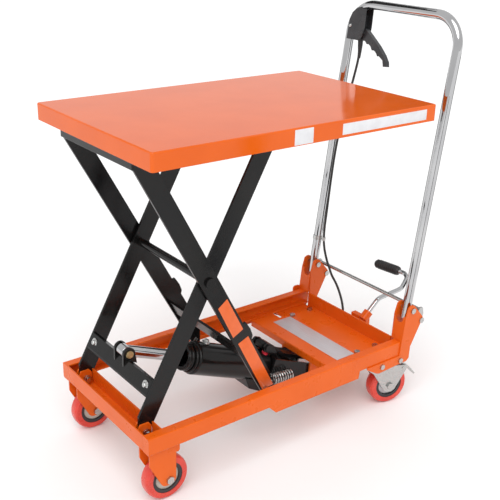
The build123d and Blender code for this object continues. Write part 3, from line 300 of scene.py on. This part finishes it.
ORANGE = ((0.73, 0.112, 0.005), (0.78, 0.125, 0.007))
BLACK = ((0.005, 0.005, 0.0055), (0.008, 0.0075, 0.007))
MATERIALS = {
    "frame_paint": paint("orange_powder_coat", ORANGE, (0.26, 0.36), 0.30, 0.00008, 0.0012),
    "platform_paint": paint("orange_gloss_coat", ORANGE, (0.10, 0.14), 0.32, 0.00002, 0.0015),
    "arm_paint": paint("black_gloss_coat", BLACK, (0.16, 0.26), 0.30, 0.00006, 0.0010),
    "zinc": plated("zinc_plate", ((0.46, 0.46, 0.45), (0.56, 0.56, 0.55)), (0.20, 0.32), 700.0),
    "bronze": plated("bronze_pin", ((0.42, 0.30, 0.14), (0.55, 0.42, 0.22)), (0.25, 0.4), 300.0),
    "bare_steel": turned_steel(),
    "tyre_red": moulded(
        "red_polyurethane", ((0.62, 0.035, 0.020), (0.72, 0.055, 0.030)), (0.24, 0.38), 420.0, 0.00006,
        Coat_Weight=0.25, Coat_Roughness=0.2,
    ),
    "hub_plastic": moulded(
        "wheel_centre_black", ((0.018, 0.018, 0.020), (0.030, 0.030, 0.032)), (0.35, 0.5), 600.0, 0.00006
    ),
    "chrome": chrome(),
    "grip_rubber": moulded(
        "grip_rubber_black", ((0.012, 0.012, 0.013), (0.024, 0.024, 0.025)), (0.42, 0.6), 900.0, 0.00010
    ),
    "lever_black": moulded(
        "lever_satin_black", ((0.022, 0.023, 0.026), (0.036, 0.037, 0.040)), (0.26, 0.38), 700.0, 0.00005
    ),
    "cable_jacket": moulded(
        "cable_jacket_black", ((0.012, 0.012, 0.012), (0.022, 0.022, 0.022)), (0.35, 0.5), 800.0, 0.00005
    ),
}
HUB_CREAM = moulded(
    "hub_cream_plastic", ((0.46, 0.43, 0.38), (0.56, 0.53, 0.47)), (0.35, 0.5), 500.0, 0.00006
)
FILM_ORANGE = printed_film("film_orange", ((0.73, 0.11, 0.005), (0.78, 0.125, 0.008)))
FILM_WHITE = printed_film("film_white", ((0.70, 0.70, 0.72), (0.76, 0.76, 0.78)))
CAP_RED = moulded("cap_red", ((0.60, 0.008, 0.030), (0.70, 0.015, 0.045)), (0.25, 0.35), 600.0, 0.00004)
LABEL_PLATE = brushed_plate()
HUB_METAL = plated("hub_grey_metal", ((0.40, 0.40, 0.41), (0.50, 0.50, 0.51)), (0.3, 0.42), 500.0)
PEDAL_PAINT = two_tone_paint("pedal_lever_paint", BLACK[0], ORANGE[0], FRONT + PEDAL_WELD * MM)


def dress_cad_parts():
    """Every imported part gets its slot's material."""
    slots = {part["node"]: part["material_slot"] for part in frame["record"]["subparts"]}
    for name, part in frame["nodes"].items():
        material = PEDAL_PAINT if name == "pedal_lever" else MATERIALS[slots[name]]
        part.data.materials.clear()
        part.data.materials.append(material)


# ---- Making pieces -----------------------------------------------------------------------------
def piece(name, mesh, material, body):
    """A named piece from a bmesh, with smooth faces and sharp edges, that rides on a body."""
    data = bpy.data.meshes.new(name)
    bmesh.ops.recalc_face_normals(mesh, faces=mesh.faces)
    for face in mesh.faces:
        face.smooth = True
    for edge in mesh.edges:
        edge.smooth = len(edge.link_faces) == 2 and edge.calc_face_angle() < math.radians(SHARP_EDGE)
    mesh.to_mesh(data)
    mesh.free()
    made = bpy.data.objects.new(name, data)
    made.data.materials.append(material)
    bpy.context.scene.collection.objects.link(made)
    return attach(made, body) if body else made


def frame_along(axis):
    """A turn that takes +Z to the axis."""
    return Vector(axis).normalized().to_track_quat("Z", "Y").to_matrix().to_4x4()


def in_metres(profile):
    """The same (radius, along) pairs, from millimetres."""
    return [(radius * MM, along * MM) for radius, along in profile]


def lathe(mesh, profile, centre, axis, segments=48):
    """Adds a turned solid: profile is (radius, along) in metres from one end to the other."""
    place = Matrix.Translation(centre) @ frame_along(axis)
    rings = []
    for radius, along in profile:
        if radius < 1e-6:
            rings.append([mesh.verts.new(place @ Vector((0, 0, along)))])
            continue
        ring = []
        for step in range(segments):
            angle = 2 * math.pi * step / segments
            corner = Vector((radius * math.cos(angle), radius * math.sin(angle), along))
            ring.append(mesh.verts.new(place @ corner))
        rings.append(ring)
    for lower, upper in zip(rings, rings[1:]):
        for step in range(segments):
            corners = [
                lower[step % len(lower)], lower[(step + 1) % len(lower)],
                upper[(step + 1) % len(upper)], upper[step % len(upper)],
            ]
            unique = list(dict.fromkeys(corners))
            if len(unique) > 2:
                mesh.faces.new(unique)


def slab(mesh, outline, thickness, bevel):
    """Adds a thin plate with rounded edges: outline's corners are in metres, thickness is a vector."""
    low = [mesh.verts.new(point) for point in outline]
    high = [mesh.verts.new(point + thickness) for point in outline]
    faces = [mesh.faces.new(low), mesh.faces.new(list(reversed(high)))]
    for step in range(len(outline)):
        after = (step + 1) % len(outline)
        faces.append(mesh.faces.new((low[after], low[step], high[step], high[after])))
    edges = list({edge for face in faces for edge in face.edges})
    bmesh.ops.bevel(mesh, geom=edges, offset=bevel, segments=2, affect="EDGES", profile=0.6)


def sweep(mesh, path, radii, segments=12):
    """Adds a closed round bar along the path, with a radius at each point."""
    rings = []
    ahead = (path[1] - path[0]).normalized()
    across = ahead.orthogonal().normalized()
    for index, point in enumerate(path):
        before = path[max(index - 1, 0)]
        after = path[min(index + 1, len(path) - 1)]
        ahead = (after - before).normalized()
        across = (across - ahead * across.dot(ahead)).normalized()
        other = ahead.cross(across)
        ring = []
        for step in range(segments):
            angle = 2 * math.pi * step / segments
            outward = across * math.cos(angle) + other * math.sin(angle)
            ring.append(mesh.verts.new(point + outward * radii[index]))
        rings.append(ring)
    for lower, upper in zip(rings, rings[1:]):
        for step in range(segments):
            after = (step + 1) % segments
            mesh.faces.new((lower[step], lower[after], upper[after], upper[step]))
    mesh.faces.new(list(reversed(rings[0])))
    mesh.faces.new(rings[-1])


def weld(mesh, start, end, radius=2.2):
    """Adds a weld bead: a bar with ripples."""
    run = (end - start).length
    count = max(8, int(run / (0.9 * MM)))
    path = [start.lerp(end, step / count) for step in range(count + 1)]
    radii = [radius * MM * (1.0 + 0.16 * math.sin(step * 1.9)) for step in range(count + 1)]
    radii[0] = radii[-1] = radius * MM * 0.3
    sweep(mesh, path, radii, 10)


def hex_bolt(mesh, centre, axis, size, height):
    """Adds a bolt head with a washer: size is across the flats, in millimetres."""
    flat = size / 2
    corner = flat * 1.155
    washer = ((0, 0), (size, 0), (size, 1.2), (size * 0.94, 1.5), (0, 1.5))
    lathe(mesh, in_metres(washer), centre, axis, 32)
    head = ((0, 1.5), (corner, 1.5), (corner, height + 0.6), (flat, height + 1.5), (0, height + 1.5))
    lathe(mesh, in_metres(head), centre, axis, 6)


# ---- Stickers and plates -----------------------------------------------------------------------
def arm_stripes():
    """Blank orange bands on the outer arms' outer faces."""
    for side, body_side in ((-1, "left"), (1, "right")):
        mesh = bmesh.new()
        for outline in (UPPER_STRIPE, LOWER_STRIPE):
            corners = [at(distance, side * ARM_OUTER_FACE, height) for distance, height in outline]
            slab(mesh, corners, Vector((0, side * STICKER_THICK * MM, 0)), 0.1 * MM)
        piece(f"arm_stripes_{body_side}", mesh, FILM_ORANGE, "outer_arms")


def lip_labels():
    """Two blank white labels on the platform's left lip."""
    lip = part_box("table_top")[0].y
    for name, start, end, bottom, top in (
        ("lip_label_small", 309.5, 355.5, 721.5, 751.5),
        ("lip_label_long", 431.0, 670.0, 725.5, 747.5),
    ):
        corners = [
            Vector((FRONT + distance * MM, lip, height * MM))
            for distance, height in ((start, bottom), (end, bottom), (end, top), (start, top))
        ]
        mesh = bmesh.new()
        slab(mesh, corners, Vector((0, 0.25 * MM, 0)), 0.03 * MM)
        bmesh.ops.translate(mesh, verts=mesh.verts, vec=(0, -0.04 * MM, 0))
        piece(name, mesh, FILM_WHITE, "platform")


def tray_label():
    """A blank brushed plate across the pump tray's floor."""
    outline = ((560, -121), (616, -121), (616, 121), (560, 121))
    corners = [at(distance, side, 136.0) for distance, side in outline]
    mesh = bmesh.new()
    slab(mesh, corners, Vector((0, 0, 0.6 * MM)), 0.2 * MM)
    piece("tray_label", mesh, LABEL_PLATE, "base")


# ---- Pump fittings -----------------------------------------------------------------------------
def along_cylinder():
    """The cylinder's direction, from the rod's pin down to the pump."""
    return (on_cylinder(1, 0, 0) - on_cylinder(0, 0, 0)).normalized()


def gland_rings():
    """Rounded ridges round the cylinder's gland."""
    mesh = bmesh.new()
    for along, radius in ((157, 31.2), (166, 31.2), (175, 35.0)):
        ridge = [
            (radius - 2.4 + 2.4 * math.sin(math.pi * step / 8), (step - 4) * 0.9) for step in range(9)
        ]
        inside = [(radius - 6, 3.6), (radius - 6, -3.6)]
        ring = in_metres(ridge + inside + ridge[:1])
        lathe(mesh, ring, on_cylinder(along, 0, 0), along_cylinder(), 64)
    bmesh.ops.remove_doubles(mesh, verts=mesh.verts, dist=1e-6)
    piece("gland_rings", mesh, MATERIALS["arm_paint"], "pump")


def filler_plug():
    """The oil filler on top of the reservoir."""
    mesh = bmesh.new()
    up = on_cylinder(0, 0, 1) - on_cylinder(0, 0, 0)
    seat = ((0, -2), (8, -2), (8, 2), (7, 3), (0, 3))
    lathe(mesh, in_metres(seat), on_cylinder(208, 0, 38), up, 32)
    hex_bolt(mesh, on_cylinder(208, 0, 40.5), up, 10, 5)
    piece("filler_plug", mesh, MATERIALS["zinc"], "pump")


def valve_cap():
    """The red cap over the pump's relief valve."""
    mesh = bmesh.new()
    foot, top = at(424, -13, 148), at(436, -17, 166)
    height = (top - foot).length
    profile = (
        (0, 0),
        (8 * MM, 0),
        (8 * MM, height * 0.45),
        (5 * MM, height * 0.85),
        (2.5 * MM, height),
        (0, height),
    )
    lathe(mesh, profile, foot, top - foot, 32)
    piece("valve_cap", mesh, CAP_RED, "pump")


def return_spring():
    """The pedal's return spring, beside the yoke."""
    mesh = bmesh.new()
    start, end = at(412, -60, 106), at(470, -60, 101)
    axis = (end - start).normalized()
    across = Vector((0, 1, 0))
    other = axis.cross(across)
    turns, steps = 8, 22
    coil, wire = 12.5 * MM, 1.7 * MM
    path = []
    for index in range(turns * steps + 1):
        angle = 2 * math.pi * index / steps
        centre = start.lerp(end, index / (turns * steps))
        outward = across * math.cos(angle) + other * math.sin(angle)
        path.append(centre + outward * coil)
    sweep(mesh, path, [wire] * len(path), 8)
    piece("return_spring", mesh, MATERIALS["zinc"], "pump")
    mesh = bmesh.new()
    for point in (start, end):
        sweep(mesh, [point, point + Vector((0, 13 * MM, 0))], [3 * MM] * 2, 16)
    piece("spring_pegs", mesh, MATERIALS["arm_paint"], "pump")


def cross_member_bolts():
    """Bolts at the ends of the inner arms' cross member."""
    mesh = bmesh.new()
    for side in (-1, 1):
        hex_bolt(mesh, at(44.5, side * 108, 241.5), (-1, 0, 0.32), 10, 4)
    piece("cross_member_bolts", mesh, MATERIALS["zinc"], "inner_arms")


# ---- Wheels and pivots -------------------------------------------------------------------------
def hub_disc(mesh, centre, axis, half):
    """Adds a wheel's moulded centre disc on one side; half is half the wheel's width in millimetres."""
    profile = (
        (6.4, 1.7), (12.3, 1.7), (12.8, 1.2), (14.6, -2.3), (20.0, -2.9), (26.6, -4.0), (27.6, -4.4),
        (27.6, -5.4), (14.0, -4.0), (11.5, 0.5), (6.4, 0.5), (6.4, 1.7),
    )
    lathe(mesh, in_metres((radius, half + along) for radius, along in profile), centre, axis, 64)


def hub_discs():
    """Discs in the middles of all four wheels: cream in front, grey metal behind."""
    for side, sign in (("left", 1), ("right", -1)):
        for place, turn, material, slot in (
            ("front", 0.0, HUB_CREAM, "hub_plastic"),
            ("rear", -CASTER_YAW * sign, HUB_METAL, "zinc"),
        ):
            low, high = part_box(f"{place}_hub_{side}")
            angle = math.radians(turn)
            axis = Vector((-math.sin(angle), math.cos(angle), 0))
            half = WHEEL_HALF_WIDTHS[place]
            mesh = bmesh.new()
            for way in (-1, 1):
                hub_disc(mesh, (low + high) / 2, axis * way, half)
            bmesh.ops.remove_doubles(mesh, verts=mesh.verts, dist=1e-6)
            piece(f"{place}_hub_disc_{side}", mesh, material, f"{place}_wheel_{side}")


def foot_bolts():
    """Bolt heads on the pins of the inner arms' feet."""
    pin = at(27, 0, 151)
    mesh = bmesh.new()
    for side in (-1, 1):
        for face, way in ((139.7, 1), (116.3, -1)):
            seat = Vector((pin.x, side * face * MM, pin.z))
            hex_bolt(mesh, seat, (0, side * way, 0), 10, 3.5)
    piece("foot_bolts", mesh, MATERIALS["zinc"], "base")


# ---- Handle fittings ---------------------------------------------------------------------------
def cable_boot():
    """The tapered boot where the cable leaves the lever bracket."""
    points = ((812.6, 130.4, 836), (811, 128.6, 822), (809.3, 127.2, 806), (807.4, 127, 790))
    radii = [radius * MM for radius in (6.5, 6.0, 4.6, 3.7)]
    mesh = bmesh.new()
    sweep(mesh, [at(*point) for point in points], radii, 24)
    piece("cable_boot", mesh, MATERIALS["grip_rubber"], "handle")


def cable_clip():
    """A clip that holds the cable to the handle's right leg."""
    lean = math.radians(HANDLE_LEAN)
    along_leg = Vector((math.sin(lean), 0, math.cos(lean)))
    mesh = bmesh.new()
    for centre, inner, outer, segments in (
        (at(742.5, 169, 318), 11.0, 12.2, 40),
        (at(745, 147.5, 318), 3.0, 4.4, 24),
    ):
        band = ((inner, -5), (outer, -5), (outer, 5), (inner, 5), (inner, -5))
        lathe(mesh, in_metres(band), centre, along_leg, segments)
    bmesh.ops.remove_doubles(mesh, verts=mesh.verts, dist=1e-6)
    piece("cable_clip", mesh, MATERIALS["zinc"], "handle")


def bracket_rivet():
    """The rivet on the front of the lever's bracket."""
    lean = math.radians(HANDLE_LEAN)
    front = Vector((-math.cos(lean), 0, math.sin(lean)))
    mesh = bmesh.new()
    dome = ((0, -1), (4.2, -1), (4.2, 0.4), (3.4, 1.5), (1.8, 2.1), (0, 2.3))
    lathe(mesh, in_metres(dome), at(802.9, 160, 865.7), front, 32)
    piece("bracket_rivet", mesh, MATERIALS["zinc"], "handle")


def release_cable():
    """The release cable, from the lever's boot to the pump's valve, in one smooth line."""
    curve = bpy.data.curves.new("release_cable_line", "CURVE")
    curve.dimensions = "3D"
    curve.resolution_u = 10
    curve.bevel_depth = CABLE_RADIUS * MM
    curve.bevel_resolution = 4
    curve.use_fill_caps = True
    spline = curve.splines.new("NURBS")
    spline.points.add(len(CABLE_ROUTE) - 1)
    for control, point in zip(spline.points, CABLE_ROUTE):
        control.co = (*at(*point), 1.0)
    spline.order_u = 3
    spline.use_endpoint_u = True
    line = bpy.data.objects.new("release_cable_line", curve)
    bpy.context.scene.collection.objects.link(line)
    bpy.context.view_layer.update()
    mesh = bmesh.new()
    mesh.from_mesh(bpy.data.meshes.new_from_object(line))
    bpy.data.objects.remove(line)
    made = piece("release_cable", mesh, MATERIALS["cable_jacket"], None)
    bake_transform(made)
    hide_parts("release_cable_upper", "release_cable_lower")


# ---- Welds -------------------------------------------------------------------------------------
def scissor_welds():
    """Beads where the cross members meet the arms."""
    low_bar, high_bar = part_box("low_cross_bar")
    mesh = bmesh.new()
    for side in (-1, 1):
        face = side * 133.2 * MM
        top = Vector((low_bar.x + 2 * MM, face, high_bar.z))
        foot = Vector((high_bar.x, face, low_bar.z + 3 * MM))
        weld(mesh, top, foot)
    piece("outer_arm_welds", mesh, MATERIALS["arm_paint"], "outer_arms")


# ---- Studio ------------------------------------------------------------------------------------
def add_camera():
    """The camera, from the platform's front left corner and a little above it."""
    azimuth, elevation, roll = (
        math.radians(angle) for angle in (CAMERA_AZIMUTH, CAMERA_ELEVATION, CAMERA_ROLL)
    )
    forward = Vector((
        -math.sin(azimuth) * math.cos(elevation),
        math.cos(azimuth) * math.cos(elevation),
        -math.sin(elevation),
    ))
    level = Vector((math.cos(azimuth), math.sin(azimuth), 0))
    upright = level.cross(forward)
    right = level * math.cos(roll) + upright * math.sin(roll)
    up = upright * math.cos(roll) - level * math.sin(roll)
    lens = bpy.data.cameras.new("studio_camera")
    lens.lens = CAMERA_LENS
    lens.sensor_width = 36.0
    lens.clip_end = 200.0
    camera = bpy.data.objects.new("studio_camera", lens)
    turned = Matrix((right, up, -forward)).transposed().to_4x4()
    camera.matrix_world = Matrix.Translation(CAMERA_PLACE) @ turned
    bpy.context.scene.collection.objects.link(camera)
    bpy.context.scene.camera = camera


def add_floor():
    """A plain pale floor."""
    mesh = bmesh.new()
    bmesh.ops.create_circle(mesh, cap_ends=True, segments=96, radius=FLOOR_RADIUS)
    data = bpy.data.meshes.new("studio_floor")
    mesh.to_mesh(data)
    mesh.free()
    floor = bpy.data.objects.new("studio_floor", data)
    material, tree, shader = blank_material("floor_paper")
    mottled(tree, shader, ((0.93, 0.93, 0.93), (0.95, 0.95, 0.95)), (0.7, 0.8), 2.0)
    data.materials.append(material)
    bpy.context.scene.collection.objects.link(floor)


def add_flags():
    """Dark cards round the table that only its gloss shows, so that the chrome gets dark lines."""
    material, tree, shader = blank_material("flag_black")
    mottled(tree, shader, ((0.004, 0.004, 0.004), (0.008, 0.008, 0.008)), (0.8, 0.9), 2.0)
    middle = (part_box("handle_tube")[0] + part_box("handle_tube")[1]) / 2
    mesh = bmesh.new()
    for bearing, width, distance, low, high in FLAGS:
        edges = [math.radians(bearing + turn) for turn in (-width / 2, width / 2)]
        corners = []
        for angle, height in ((edges[0], low), (edges[1], low), (edges[1], high), (edges[0], high)):
            across = (middle.x + math.sin(angle) * distance, middle.y + math.cos(angle) * distance)
            corners.append(mesh.verts.new((*across, height)))
        mesh.faces.new(corners)
    data = bpy.data.meshes.new("studio_flags")
    mesh.to_mesh(data)
    mesh.free()
    flags = bpy.data.objects.new("studio_flags", data)
    data.materials.append(material)
    flags.visible_camera = False
    flags.visible_diffuse = False
    flags.visible_shadow = False
    flags.visible_transmission = False
    bpy.context.scene.collection.objects.link(flags)


def add_key_light():
    """One broad soft light from above the camera."""
    data = bpy.data.lights.new("studio_key", "SUN")
    data.energy = KEY_STRENGTH
    data.angle = math.radians(KEY_SPREAD)
    light = bpy.data.objects.new("studio_key", data)
    aim = (-Vector(KEY_PLACE)).to_track_quat("-Z", "Y")
    light.matrix_world = Matrix.Translation(KEY_PLACE) @ aim.to_matrix().to_4x4()
    bpy.context.scene.collection.objects.link(light)


def add_sky():
    """An even white room."""
    world = bpy.data.worlds.new("studio_room")
    world.use_nodes = True
    background = world.node_tree.nodes["Background"]
    background.inputs["Color"].default_value = (1.0, 1.0, 1.0, 1.0)
    background.inputs["Strength"].default_value = SKY_STRENGTH
    bpy.context.scene.world = world


def build():
    """All the pieces, then the studio."""
    dress_cad_parts()
    release_cable()
    arm_stripes()
    lip_labels()
    tray_label()
    gland_rings()
    filler_plug()
    valve_cap()
    return_spring()
    cross_member_bolts()
    cable_boot()
    cable_clip()
    bracket_rivet()
    hub_discs()
    foot_bolts()
    scissor_welds()
    add_camera()
    add_floor()
    add_flags()
    add_sky()
    add_key_light()
    bpy.context.scene.view_settings.view_transform = "Standard"


build()
